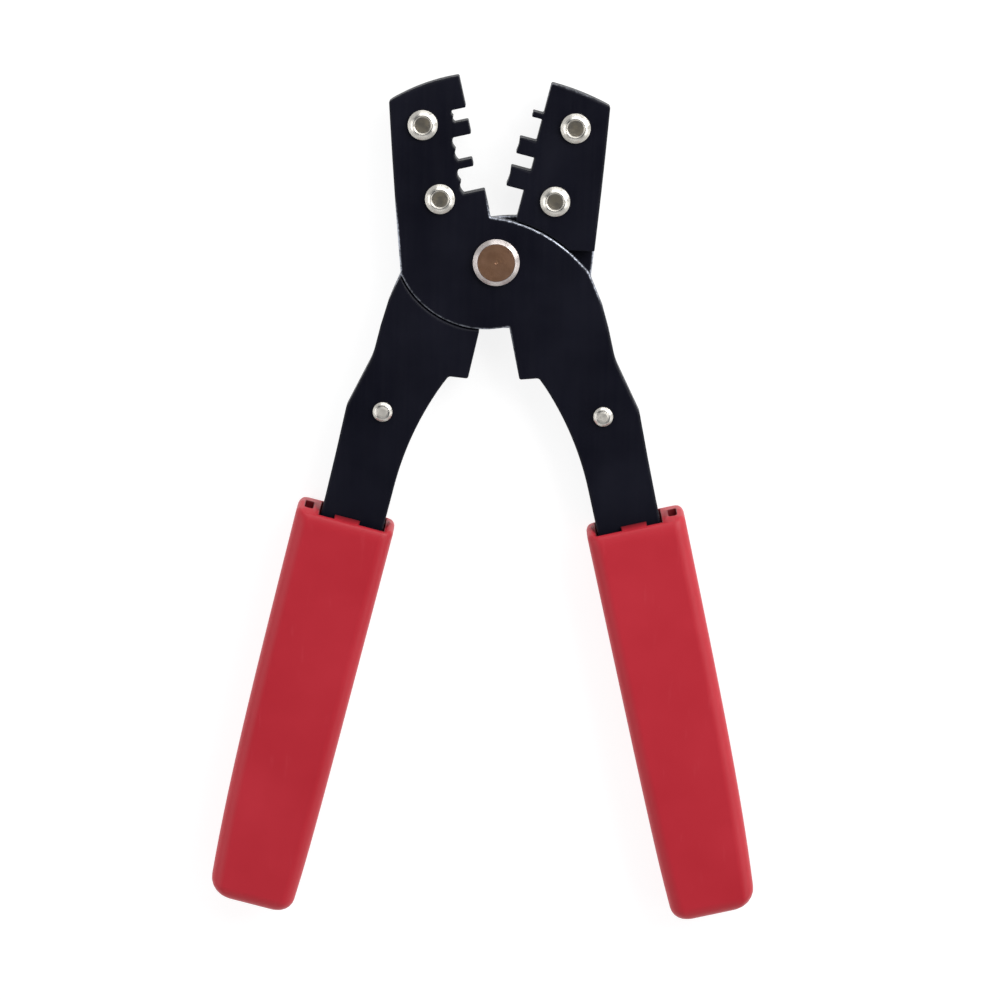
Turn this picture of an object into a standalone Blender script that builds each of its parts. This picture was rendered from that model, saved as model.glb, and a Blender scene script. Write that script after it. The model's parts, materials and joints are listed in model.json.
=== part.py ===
"""Hand crimping plier for open-barrel terminals, built from riveted plates.

Units are metres and +Z is up. The plier lies flat and open: its plates are parallel to
the XY plane, its jaws point along +Y, and its front face looks up.

Each lever is designed in a frame of its own, with the pivot at the origin, the jaw on the
-X side and the handle on the +X side, as it stands when the plier is fully squeezed. The
front lever is used like that in the upper plate layer. The rear lever is mirrored in X and
lies in the lower layer. Each layer is then filled up with a jaw plate and an arm plate of
the other lever, so both jaws and both arms are two plates thick.

Lengths are written in millimetres and become metres when a mesh is made.
"""
import math

import bmesh
import bpy

MM = 0.001

# Overall arrangement
GRIP_THICKNESS = 12.6
PIVOT_X = 0.0
PIVOT_Y = 51.55
PIVOT_Z = GRIP_THICKNESS / 2
HALF_OPENING = 13.5      # degrees that each lever stands open from the squeezed frame
CLOSING_RANGE = 24.5     # degrees between the open stop and the closed stop
FIT_GAP = 0.3            # clearance between pieces that touch on the real object

# Plates
PLATE_THICKNESS = 3.0
LAYER_OFFSET = (PLATE_THICKNESS + FIT_GAP) / 2
STACK_HALF = PLATE_THICKNESS + FIT_GAP / 2

# Jaw: the top edge is an arc, the outer edge a shallow curve rising from the hub
JAW_OUTER_START = (-20.3, 2.4)
JAW_OUTER_SLOPE = 0.134
JAW_OUTER_CURVE = 0.00045
JAW_CORNER_X = -15.1
JAW_CORNER_RADIUS = 0.5
JAW_HEEL_Y = 7.5
JAW_HEEL_X = -14.4
NOTCHED_JAW = dict(top_crest=(-1.5, 40.4), top_radius=42.0, base_x=0.85, tip_x=0.7, toe_x=-2.6, toe_rise=1.2)
ANVIL_JAW = dict(top_crest=(-1.7, 39.7), top_radius=55.0, base_x=-1.8, tip_x=-1.7, toe_x=-1.8, toe_rise=0.0)

# Hub: two arcs that are not concentric with the pivot, so they act as opening stops
HUB_UPPER_CENTRE = (-8.8, -19.1)
HUB_UPPER_RADIUS = 30.3
HUB_LOWER_CENTRE = (-0.85, 5.9)
HUB_LOWER_RADIUS = 20.0

# Arm
STOP_TOP_Y = -14.1
STOP_BOTTOM_Y = -25.7
STOP_HALF_GAP = 0.05
STEP_END = (3.6, -26.3)
ARM_INNER_X = 8.85
ARM_INNER_RADIUS = 66.0
ARM_INNER_STRAIGHT_Y = -52.0
ARM_OUTER_X = 22.6
ARM_OUTER_STRAIGHT_Y = -58.0
ARM_SHOULDER = (20.1, -14.0)
ARM_SHOULDER_TOP_X = 18.95
TANG_END_Y = -134.0
TANG_CORNER_RADIUS = 3.0

# Rivets: position in the lever's frame
JAW_RIVET_PLACES = {"upper": (-9.0, 31.8), "lower": (-8.8, 15.7)}
ARM_RIVET_PLACE = (15.3, -37.2)
TANG_RIVET_PLACE = (15.3, -104.0)
PIVOT_SHANK_RADIUS = 3.7
JAW_SHANK_RADIUS = 2.0
ARM_SHANK_RADIUS = 1.4
RIVET_SEGMENTS = 24

# Grip
GRIP_TOP_Y = -60.6
GRIP_BOTTOM_Y = -148.9
GRIP_EDGE_RADIUS = 3.0
GRIP_INNER_X = 6.5
GRIP_OUTER_X = 27.9
FRONT_LIP_FALL = 0.05    # the mouth's edge falls by this times the square of the height
CAVITY_HALF_HEIGHT = 5.0
CAVITY_END_Y = TANG_END_Y - 1.0
MOUTH_DEPTH = 12.0
MOUTH_RIB_LEFT = 13.4
MOUTH_RIB_RIGHT = 19.0
CORE_SLOT_X = 25.4
CORE_SLOT_WIDTH = 1.8
CORE_SLOT_HEIGHT = 5.0
CORE_SLOT_RAISE = 1.0
CORE_SLOT_DEPTH = 60.0

MATERIALS = {
    "plate_black": dict(color=(0.020, 0.022, 0.028, 1.0), metallic=0.6, roughness=0.42),
    "rivet_nickel": dict(color=(0.70, 0.67, 0.62, 1.0), metallic=1.0, roughness=0.25),
    "pivot_nickel": dict(color=(0.62, 0.50, 0.44, 1.0), metallic=1.0, roughness=0.28),
    "grip_red": dict(color=(0.52, 0.025, 0.035, 1.0), metallic=0.0, roughness=0.45),
}


# ---------------------------------------------------------------- outline helpers

def rotated(point, degrees):
    """Turn a point about the pivot, counter-clockwise."""
    angle = math.radians(degrees)
    x, y = point
    return (x * math.cos(angle) - y * math.sin(angle), x * math.sin(angle) + y * math.cos(angle))


def circle_y(centre, radius, x, side):
    """Height of a circle at x: side is +1 for its upper half and -1 for its lower half."""
    return centre[1] + side * math.sqrt(radius ** 2 - (x - centre[0]) ** 2)


def arc_over(centre, radius, x_start, x_end, side, steps):
    """Points along a circle's upper or lower half, evenly spaced by angle."""
    y_start = circle_y(centre, radius, x_start, side)
    y_end = circle_y(centre, radius, x_end, side)
    start = math.atan2(y_start - centre[1], x_start - centre[0])
    end = math.atan2(y_end - centre[1], x_end - centre[0])
    if side < 0:
        start %= 2 * math.pi
        end %= 2 * math.pi
    points = []
    for step in range(steps + 1):
        angle = start + (end - start) * step / steps
        points.append((centre[0] + radius * math.cos(angle), centre[1] + radius * math.sin(angle)))
    return points


def sharp(points):
    """Corners without a radius, for rounded()."""
    return [(x, y, 0.0) for x, y in points]


def rounded(corners, steps=4):
    """Turn (x, y, radius) corners into an outline whose corners are arcs."""
    outline = []
    count = len(corners)
    for index, (x, y, radius) in enumerate(corners):
        if radius == 0.0:
            outline.append((x, y))
            continue
        before = corners[index - 1]
        after = corners[(index + 1) % count]
        to_before = (before[0] - x, before[1] - y)
        to_after = (after[0] - x, after[1] - y)
        length_before = math.hypot(*to_before)
        length_after = math.hypot(*to_after)
        unit_before = (to_before[0] / length_before, to_before[1] / length_before)
        unit_after = (to_after[0] / length_after, to_after[1] / length_after)
        dot = unit_before[0] * unit_after[0] + unit_before[1] * unit_after[1]
        half = math.acos(max(-1.0, min(1.0, dot))) / 2
        reach = radius / math.tan(half)
        middle = (unit_before[0] + unit_after[0], unit_before[1] + unit_after[1])
        scale = radius / math.sin(half) / math.hypot(*middle)
        centre = (x + middle[0] * scale, y + middle[1] * scale)
        first = (x + unit_before[0] * reach, y + unit_before[1] * reach)
        last = (x + unit_after[0] * reach, y + unit_after[1] * reach)
        start = math.atan2(first[1] - centre[1], first[0] - centre[0])
        sweep = math.atan2(last[1] - centre[1], last[0] - centre[0]) - start
        sweep = (sweep + math.pi) % (2 * math.pi) - math.pi
        for step in range(steps + 1):
            angle = start + sweep * step / steps
            outline.append((centre[0] + radius * math.cos(angle), centre[1] + radius * math.sin(angle)))
    return outline


# ---------------------------------------------------------------- lever outlines

def jaw_outer_x(y):
    """X of the jaw's outer edge at a height y."""
    rise = y - JAW_OUTER_START[1]
    return JAW_OUTER_START[0] + JAW_OUTER_SLOPE * rise + JAW_OUTER_CURVE * rise ** 2


def jaw_top(jaw):
    """Corners of the jaw's top edge, from the tip to the outer corner."""
    crest_x, crest_y = jaw["top_crest"]
    radius = jaw["top_radius"]
    centre = (crest_x, crest_y - radius)
    arc = arc_over(centre, radius, jaw["tip_x"], JAW_CORNER_X + 1.5, 1, 5)
    corner_y = circle_y(centre, radius, JAW_CORNER_X, 1)
    tip = (arc[0][0], arc[0][1], 0.4)
    return [tip] + sharp(arc[1:]) + [(jaw_outer_x(corner_y), corner_y, JAW_CORNER_RADIUS)]


def jaw_outer_edge(end_y):
    """Corners of the jaw's outer edge, from below its top corner down to end_y."""
    start_y = 34.0
    steps = 4
    heights = [start_y + (end_y - start_y) * step / steps for step in range(steps + 1)]
    return sharp([(jaw_outer_x(y), y) for y in heights])


def crimp_notch(bottom_y, top_y, mouth_below_x, mouth_above_x, depth_x, cusp):
    """A notched die: straight walls and a floor of two arches that meet in a cusp."""
    floor_steps = 8
    floor = []
    for step in range(floor_steps + 1):
        share = step / floor_steps
        arch = abs(math.sin(2 * math.pi * share))
        floor.append((depth_x + cusp * (1 - arch), bottom_y + (top_y - bottom_y) * share))
    return [(mouth_below_x, bottom_y)] + floor + [(mouth_above_x, top_y)]


def anvil(bottom_y, top_y, root_below_x, root_above_x, tip_x, dish):
    """An anvil die: a block with a slightly hollowed tip."""
    middle_y = (bottom_y + top_y) / 2
    tip = [(tip_x, bottom_y), (tip_x - dish, middle_y), (tip_x, top_y)]
    return [(root_below_x, bottom_y)] + tip + [(root_above_x, top_y)]


def die_edge(jaw, base_y):
    """Corners of a jaw's crimping edge, from the hub up to the tip."""
    base_x = jaw["base_x"]
    tip_x = jaw["tip_x"]
    edge = [(base_x, base_y)]
    if jaw is NOTCHED_JAW:
        lower_tooth_x = -0.35
        upper_tooth_x = 0.6
        edge += crimp_notch(15.6, 21.0, base_x, lower_tooth_x, -4.15, 0.5)
        edge += crimp_notch(22.7, 27.8, lower_tooth_x, upper_tooth_x, -3.75, 0.45)
        edge += crimp_notch(30.8, 33.5, upper_tooth_x, tip_x, -2.6, 0.3)
    else:
        lower_gap_x = -2.2
        upper_gap_x = -1.7
        edge += anvil(16.3, 20.6, base_x, lower_gap_x, 2.15, 0.25)
        edge += anvil(23.5, 27.0, lower_gap_x, upper_gap_x, 1.9, 0.2)
        edge += anvil(31.8, 33.0, upper_gap_x, tip_x, 0.6, 0.1)
    return sharp(edge)


def stop_face_x(y):
    """X of the arm's stop face: it leans so that both stops meet flat when the plier is shut."""
    lean = math.tan(math.radians(HALF_OPENING - CLOSING_RANGE / 2))
    return STOP_HALF_GAP + y * lean


def arm_inner_curve():
    """The arm's inner edge, curving in below the step and then running straight."""
    centre_x = ARM_INNER_X - ARM_INNER_RADIUS
    start_y = -28.6
    steps = 7
    curve = []
    for step in range(steps + 1):
        y = start_y + (ARM_INNER_STRAIGHT_Y - start_y) * step / steps
        reach = math.sqrt(ARM_INNER_RADIUS ** 2 - (y - ARM_INNER_STRAIGHT_Y) ** 2)
        curve.append((centre_x + reach, y))
    return curve


def arm_edges():
    """Corners from the closed stop, round the tang, up to the arm's outer shoulder."""
    corners = [(stop_face_x(STOP_BOTTOM_Y), STOP_BOTTOM_Y, 0.5)]
    corners += [(STEP_END[0], STEP_END[1], 0.9)]
    corners += sharp(arm_inner_curve())
    corners += [(ARM_INNER_X, TANG_END_Y, TANG_CORNER_RADIUS)]
    corners += [(ARM_OUTER_X, TANG_END_Y, TANG_CORNER_RADIUS)]
    corners += [(ARM_OUTER_X, ARM_OUTER_STRAIGHT_Y, 0.0)]
    corners += [(23.1, -38.2, 3.0), (20.4, -26.3, 14.0)]
    corners += sharp([ARM_SHOULDER])
    return corners


def lever_outline(jaw):
    """The whole lever plate: jaw, hub and arm in one piece."""
    base_x = jaw["base_x"]
    upper_arc = arc_over(HUB_UPPER_CENTRE, HUB_UPPER_RADIUS, ARM_SHOULDER_TOP_X, base_x, 1, 9)
    corners = jaw_top(jaw)
    corners += jaw_outer_edge(JAW_OUTER_START[1])
    corners += sharp(arc_over(HUB_LOWER_CENTRE, HUB_LOWER_RADIUS, -20.4, -1.6, -1, 9))
    corners += sharp([(stop_face_x(STOP_TOP_Y), STOP_TOP_Y)])
    corners += arm_edges()
    corners += sharp(upper_arc[:-1])
    corners += die_edge(jaw, upper_arc[-1][1])
    return rounded(corners)


def centre_seen_by_other_lever(centre):
    """Where one lever's arc centre lies in the other lever's frame with the plier open."""
    x, y = rotated(centre, 2 * HALF_OPENING)
    return (-x, y)


def jaw_plate_outline(jaw):
    """The jaw's second plate: it ends just above the other lever's hub.

    Its toe, the corner by the dies, is relieved where the other hub passes under it.
    """
    centre = centre_seen_by_other_lever(HUB_UPPER_CENTRE)
    arc = arc_over(centre, HUB_UPPER_RADIUS + FIT_GAP, JAW_HEEL_X, jaw["toe_x"], 1, 6)
    corners = jaw_top(jaw)
    corners += jaw_outer_edge(JAW_HEEL_Y)
    corners += sharp([point for point in arc if point[0] < jaw["base_x"] - FIT_GAP])
    corners += die_edge(jaw, arc[-1][1] + jaw["toe_rise"])
    return rounded(corners)


def arm_plate_outline():
    """The arm's second plate: it starts just below the other lever's hub."""
    centre = centre_seen_by_other_lever(HUB_LOWER_CENTRE)
    radius = HUB_LOWER_RADIUS + FIT_GAP
    corners = sharp(arc_over(centre, radius, ARM_SHOULDER_TOP_X, stop_face_x(STOP_TOP_Y), -1, 8))
    corners += arm_edges()
    return rounded(corners)


# ---------------------------------------------------------------- mesh helpers

def make_material(name):
    """A Principled material from the table above."""
    settings = MATERIALS[name]
    material = bpy.data.materials.new(name)
    material.use_nodes = True
    shader = material.node_tree.nodes["Principled BSDF"]
    shader.inputs["Base Color"].default_value = settings["color"]
    shader.inputs["Metallic"].default_value = settings["metallic"]
    shader.inputs["Roughness"].default_value = settings["roughness"]
    material.diffuse_color = settings["color"]
    return material


def add_object(name, mesh_builder, parent, material):
    """Wrap a bmesh in an object that hangs on its lever's pivot empty."""
    mesh = bpy.data.meshes.new(name)
    bmesh.ops.scale(mesh_builder, vec=(MM, MM, MM), verts=mesh_builder.verts)
    bmesh.ops.recalc_face_normals(mesh_builder, faces=mesh_builder.faces)
    mesh_builder.to_mesh(mesh)
    mesh_builder.free()
    if material is not None:
        mesh.materials.append(material)
    item = bpy.data.objects.new(name, mesh)
    bpy.context.scene.collection.objects.link(item)
    item.parent = parent
    return item


def add_loop(builder, points, z):
    """A closed loop of edges."""
    verts = [builder.verts.new((x, y, z)) for x, y in points]
    count = len(verts)
    return [builder.edges.new((verts[index], verts[(index + 1) % count])) for index in range(count)]


def circle_points(centre, radius, segments):
    """A round hole's outline."""
    points = []
    for index in range(segments):
        angle = 2 * math.pi * index / segments
        points.append((centre[0] + radius * math.cos(angle), centre[1] + radius * math.sin(angle)))
    return points


def plate(name, outline, holes, layer, mirror, parent, material):
    """Extrude an outline with round holes. layer is +1 for the front and -1 for the rear."""
    sign = -1.0 if mirror else 1.0
    bottom = layer * LAYER_OFFSET - PLATE_THICKNESS / 2
    builder = bmesh.new()
    edges = add_loop(builder, [(sign * x, y) for x, y in outline], bottom)
    for (x, y), radius in holes:
        edges += add_loop(builder, circle_points((sign * x, y), radius, RIVET_SEGMENTS), bottom)
    filled = bmesh.ops.triangle_fill(builder, edges=edges, use_beauty=True, use_dissolve=False)
    faces = [item for item in filled["geom"] if isinstance(item, bmesh.types.BMFace)]
    grown = bmesh.ops.extrude_face_region(builder, geom=faces, use_keep_orig=True)
    lifted = [item for item in grown["geom"] if isinstance(item, bmesh.types.BMVert)]
    bmesh.ops.translate(builder, vec=(0.0, 0.0, PLATE_THICKNESS), verts=lifted)
    return add_object(name, builder, parent, material)


def turned(name, profile, place, parent, material):
    """Spin a (radius, height) profile, given from bottom to top, about a vertical axis."""
    builder = bmesh.new()
    rings = []
    for radius, height in profile:
        if radius == 0.0:
            rings.append([builder.verts.new((place[0], place[1], height))])
            continue
        ring = circle_points(place, radius, RIVET_SEGMENTS)
        rings.append([builder.verts.new((x, y, height)) for x, y in ring])
    for lower, upper in zip(rings, rings[1:]):
        for index in range(RIVET_SEGMENTS):
            after = (index + 1) % RIVET_SEGMENTS
            if len(lower) == 1:
                builder.faces.new((lower[0], upper[after], upper[index]))
            elif len(upper) == 1:
                builder.faces.new((lower[index], lower[after], upper[0]))
            else:
                builder.faces.new((lower[index], lower[after], upper[after], upper[index]))
    item = add_object(name, builder, parent, material)
    item.data.shade_smooth()
    item.data.set_sharp_from_angle(angle=math.radians(35))
    return item


def rivet(name, head, shank_radius, place, parent, material):
    """A rivet with the same formed head on both sides, clamped over the plate stack."""
    seat = STACK_HALF + FIT_GAP
    upper = [(shank_radius, seat)] + [(radius, seat + height) for radius, height in head]
    lower = [(radius, -height) for radius, height in reversed(upper)]
    return turned(name, lower + upper, place, parent, material)


def pivot_head():
    """A broad flat head with a wide bevel: (radius, height above its seat)."""
    return [(5.0, 0.0), (5.0, 0.5), (4.75, 0.95), (4.05, 1.4), (0.0, 1.4)]


def jaw_head():
    """A domed head with a shallow dish in the middle."""
    return [(3.2, 0.0), (3.15, 0.45), (2.7, 0.95), (1.9, 1.2), (1.2, 1.1), (0.0, 1.0)]


def arm_head():
    """A small domed head."""
    return [(2.15, 0.0), (2.05, 0.4), (1.5, 0.7), (0.0, 0.8)]


def tang_head():
    """A low head that hides inside the grip."""
    return [(2.15, 0.0), (1.9, 0.4), (0.0, 0.55)]


# ---------------------------------------------------------------- grips

def grip_outer_x(y):
    """Outer edge of the grip: it draws in towards the end."""
    share = (-60.0 - y) / 90.0
    return GRIP_OUTER_X - 0.7 * share - 2.0 * share ** 4


def grip_inner_x(y):
    """Inner edge of the grip: straight, and drawn in at the very end."""
    share = (-60.0 - y) / 90.0
    return GRIP_INNER_X + 0.8 * share ** 8


def lip_fall(height):
    """How far the mouth's edge is cut back at a height: only the front half is."""
    return FRONT_LIP_FALL * max(0.0, height) ** 2


def grip_ring(inset, height):
    """The grip's outline at one height, drawn in all round by an inset."""
    least_radius = 0.4
    top = GRIP_TOP_Y - inset - lip_fall(height)
    bottom = GRIP_BOTTOM_Y + inset
    corners = [(grip_inner_x(top) + inset, top, max(1.3 - inset, least_radius))]
    for y in (-100.0, -128.0, -139.0):
        corners.append((grip_inner_x(y) + inset, y, 0.0))
    corners.append((grip_inner_x(bottom) + inset, bottom, max(3.4 - inset, least_radius)))
    corners.append((grip_outer_x(bottom) - inset, bottom, max(4.4 - inset, least_radius)))
    for y in (-136.0, -128.0, -115.0, -95.0):
        corners.append((grip_outer_x(y) - inset, y, 0.0))
    corners.append((grip_outer_x(top) - inset, top, max(1.6 - inset, least_radius)))
    return rounded(corners)


def grip_body(name, mirror, parent, material):
    """Stack outlines from the back face to the front face, with rounded long edges."""
    sign = -1.0 if mirror else 1.0
    steps = 4
    flat_half = GRIP_THICKNESS / 2 - GRIP_EDGE_RADIUS
    levels = []
    for step in range(steps + 1):
        angle = math.pi / 2 * step / steps
        inset = GRIP_EDGE_RADIUS * (1 - math.cos(angle))
        levels.append((inset, flat_half + GRIP_EDGE_RADIUS * math.sin(angle)))
    stack = [(inset, -height) for inset, height in reversed(levels)] + [(0.0, 0.0)] + levels
    builder = bmesh.new()
    rings = []
    for inset, height in stack:
        ring = grip_ring(inset, height)
        rings.append([builder.verts.new((sign * x, y, height)) for x, y in ring])
    count = len(rings[0])
    for lower, upper in zip(rings, rings[1:]):
        for index in range(count):
            after = (index + 1) % count
            builder.faces.new((lower[index], lower[after], upper[after], upper[index]))
    builder.faces.new(rings[0])
    builder.faces.new(rings[-1])
    item = add_object(name, builder, parent, material)
    item.data.shade_smooth()
    item.data.set_sharp_from_angle(angle=math.radians(40))
    return item


def cutter_along_y(name, section, start_y, end_y, mirror, parent):
    """A hidden solid with an XZ section, run along Y between two stations."""
    sign = -1.0 if mirror else 1.0
    builder = bmesh.new()
    ends = []
    for y in (start_y, end_y):
        ends.append([builder.verts.new((sign * x, y, z)) for x, z in section])
    count = len(section)
    for index in range(count):
        after = (index + 1) % count
        builder.faces.new((ends[0][index], ends[0][after], ends[1][after], ends[1][index]))
    builder.faces.new(ends[0])
    builder.faces.new(ends[1])
    item = add_object(name, builder, parent, None)
    item.hide_render = True
    item.display_type = "WIRE"
    return item


def mouth_section():
    """Section of the grip's mouth: a slot for the arm with a broad rib on both walls."""
    wall = CAVITY_HALF_HEIGHT
    rib = STACK_HALF + FIT_GAP
    upper = [(ARM_INNER_X - FIT_GAP, wall)]
    upper += [(MOUTH_RIB_LEFT, wall), (MOUTH_RIB_LEFT, rib)]
    upper += [(MOUTH_RIB_RIGHT, rib), (MOUTH_RIB_RIGHT, wall)]
    upper += [(ARM_OUTER_X + FIT_GAP, wall)]
    lower = [(x, -z) for x, z in reversed(upper)]
    return upper + lower


def box_section(left, right, low, high):
    """A plain rectangular section."""
    return [(left, high), (right, high), (right, low), (left, low)]


def grip(name, mirror, parent, material):
    """A moulded sleeve, open at the top for the arm, with a cored-out slot beside it."""
    item = grip_body(name, mirror, parent, material)
    beyond = 2.0
    mouth_end = GRIP_TOP_Y - MOUTH_DEPTH
    arm_left = ARM_INNER_X - FIT_GAP
    arm_right = ARM_OUTER_X + FIT_GAP
    cavity = box_section(arm_left, arm_right, -CAVITY_HALF_HEIGHT, CAVITY_HALF_HEIGHT)
    core_left = CORE_SLOT_X - CORE_SLOT_WIDTH / 2
    core_low = CORE_SLOT_RAISE - CORE_SLOT_HEIGHT / 2
    core = box_section(core_left, core_left + CORE_SLOT_WIDTH, core_low, core_low + CORE_SLOT_HEIGHT)
    runs = {
        "mouth": (mouth_section(), GRIP_TOP_Y + beyond, mouth_end),
        "cavity": (cavity, mouth_end, CAVITY_END_Y),
        "core": (core, GRIP_TOP_Y + beyond, GRIP_TOP_Y - CORE_SLOT_DEPTH),
    }
    for label, (section, start_y, end_y) in runs.items():
        cutter = cutter_along_y(name + "_" + label + "_cutter", section, start_y, end_y, mirror, parent)
        cut = item.modifiers.new(label, "BOOLEAN")
        cut.operation = "DIFFERENCE"
        cut.solver = "EXACT"
        cut.object = cutter
    return item


# ---------------------------------------------------------------- assembly

def pivot_empty(name, degrees):
    """A lever's joint parent: it stands on the pivot axis and holds the lever open."""
    empty = bpy.data.objects.new(name, None)
    empty.empty_display_size = 10 * MM
    empty.location = (PIVOT_X * MM, PIVOT_Y * MM, PIVOT_Z * MM)
    empty.rotation_euler = (0.0, 0.0, math.radians(degrees))
    bpy.context.scene.collection.objects.link(empty)
    return empty


def lever(side, arm_side, layer, mirror, jaw, parent, materials):
    """One lever: its long plate, its jaw and arm plates, its rivets and its grip."""
    own = "front" if layer > 0 else "rear"
    other = "rear" if layer > 0 else "front"
    black = materials["plate_black"]
    nickel = materials["rivet_nickel"]
    jaw_holes = [(place, JAW_SHANK_RADIUS + FIT_GAP) for place in JAW_RIVET_PLACES.values()]
    arm_holes = [(place, ARM_SHANK_RADIUS + FIT_GAP) for place in (ARM_RIVET_PLACE, TANG_RIVET_PLACE)]
    pivot_hole = [((0.0, 0.0), PIVOT_SHANK_RADIUS + FIT_GAP)]
    plates = [
        (own + "_lever_plate", lever_outline(jaw), jaw_holes + pivot_hole + arm_holes, layer),
        (side + "_jaw_" + other + "_plate", jaw_plate_outline(jaw), jaw_holes, -layer),
        (arm_side + "_arm_" + other + "_plate", arm_plate_outline(), arm_holes, -layer),
    ]
    for name, outline, holes, plate_layer in plates:
        plate(name, outline, holes, plate_layer, mirror, parent, black)
    sign = -1.0 if mirror else 1.0
    for level, (x, y) in JAW_RIVET_PLACES.items():
        rivet(side + "_jaw_rivet_" + level, jaw_head(), JAW_SHANK_RADIUS, (sign * x, y), parent, nickel)
    arm_rivets = {"arm": (arm_head(), ARM_RIVET_PLACE), "tang": (tang_head(), TANG_RIVET_PLACE)}
    for label, (head, (x, y)) in arm_rivets.items():
        rivet(arm_side + "_" + label + "_rivet", head, ARM_SHANK_RADIUS, (sign * x, y), parent, nickel)
    grip(arm_side + "_grip", mirror, parent, materials["grip_red"])


def build():
    """Clear the scene and build the open plier."""
    for item in list(bpy.data.objects):
        bpy.data.objects.remove(item, do_unlink=True)
    materials = {name: make_material(name) for name in MATERIALS}
    front = pivot_empty("front_lever_pivot", HALF_OPENING)
    rear = pivot_empty("rear_lever_pivot", -HALF_OPENING)
    lever("left", "right", 1, False, NOTCHED_JAW, front, materials)
    lever("right", "left", -1, True, ANVIL_JAW, rear, materials)
    rivet("pivot_rivet", pivot_head(), PIVOT_SHANK_RADIUS, (0.0, 0.0), front, materials["pivot_nickel"])


build()
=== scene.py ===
"""Looks of a hand crimping plier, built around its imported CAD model.

Every CAD node is replaced by a finished piece in the same place:
  plates  the outline is read from the node's front face, its round stretches are made
          smooth, and a plate with rolled edges is built on it;
  rivets  turned heads with a rim, a dish or a faced end, as large as the node's box;
  grips   moulded sleeves with rounded edges, a parting line, a ribbed mouth, a core slot
          and a gate mark, laid out from the sizes below.

Lengths are written in millimetres and become metres when a mesh is made.
"""
import json
import math

import bmesh
import bpy
from mathutils import Matrix, Vector


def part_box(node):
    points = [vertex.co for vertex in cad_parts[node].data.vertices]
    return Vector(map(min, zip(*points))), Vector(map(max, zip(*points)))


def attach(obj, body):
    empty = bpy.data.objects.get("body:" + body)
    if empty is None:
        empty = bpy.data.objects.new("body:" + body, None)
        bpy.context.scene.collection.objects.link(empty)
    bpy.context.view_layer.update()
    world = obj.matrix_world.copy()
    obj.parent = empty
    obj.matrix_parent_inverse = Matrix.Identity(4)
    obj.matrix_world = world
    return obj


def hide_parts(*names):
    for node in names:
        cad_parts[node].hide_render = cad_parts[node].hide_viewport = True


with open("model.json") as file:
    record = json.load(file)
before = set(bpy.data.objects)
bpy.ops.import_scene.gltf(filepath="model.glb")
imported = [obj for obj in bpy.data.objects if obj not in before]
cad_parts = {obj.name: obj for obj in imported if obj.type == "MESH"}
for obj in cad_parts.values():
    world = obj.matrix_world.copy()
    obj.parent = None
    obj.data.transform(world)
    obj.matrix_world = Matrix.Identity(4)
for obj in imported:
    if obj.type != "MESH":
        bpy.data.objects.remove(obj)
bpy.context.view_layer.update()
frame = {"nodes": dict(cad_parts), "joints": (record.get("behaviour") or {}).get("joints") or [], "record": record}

MM = 0.001

# The levers: each is laid out in its own frame, pivot at the origin and handle down, and
# stands turned about the pivot
PIVOT = Vector(frame["joints"][0]["pos_m"]) / MM
HALF_OPENING = math.radians(13.5)
RIGHT_GRIP = {"mirror": 1.0, "turn": HALF_OPENING}
LEFT_GRIP = {"mirror": -1.0, "turn": -HALF_OPENING}

# Reading outlines from the nodes
WELD = 0.002
CORNER_TURN = math.radians(32)     # a sharper turn than this is a corner
STRAIGHT_RATIO = 2.0               # a chord this much longer than its neighbour is a straight edge
LEAST_BOW = math.radians(0.6)      # a chord that bows less than this stays straight
LEAST_CORNER = math.radians(12)    # a convex turn sharper than this narrows the edge's roll
STEP_TURN = math.radians(4)        # the turn of one step on a round stretch
CORNER_STEP_TURN = math.radians(15)
CORNER_ROOM = 0.4                  # the share of a chord that a corner's rounding may take
CORNER_PULL = 0.55                 # how near the rounding's handles come to the corner

# Plates
CORNER_RADIUS = 0.3
EDGE_ROLL = 0.7                    # widest roll of an edge; towards tight corners it narrows
HOLE_ROLL = 0.2
ROLL_SHARE = 0.85                  # of a corner's radius
ROLL_GROWTH = 0.12                 # how fast the roll widens with the distance from a corner
ROLL_DEPTH = {"least": 0.12, "growth": 0.33}
EDGE_STEPS = 5

# Wear: how far the oxide is rubbed off. It peaks on the roll and fades towards the wall.
PEAK_WEAR = 1.3
WALL_FADE = 0.65                   # the share that is lost where the roll meets the wall
WALL_WEAR = 0.22                   # in the middle of the wall
LEAST_WEAR = 0.3
HUB_WEAR = {"upper": 1.5, "lower": 0.8}
TIP_WEAR = {"left": 0.3, "right": 0.6}
SHORT_PLATE_FADE = 0.8             # the share that the short plates lose near the hub

# Where each wear comes in, from none of it to all of it: HUB_EDGE by the distance from the
# pivot, and the others by the height above it
HUB_EDGE = (27.0, 23.0)
HUB_TOP = (12.0, 9.0)
HUB_MIDDLE = (-6.0, 2.0)
TIP_START = (32.0, 36.0)

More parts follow.
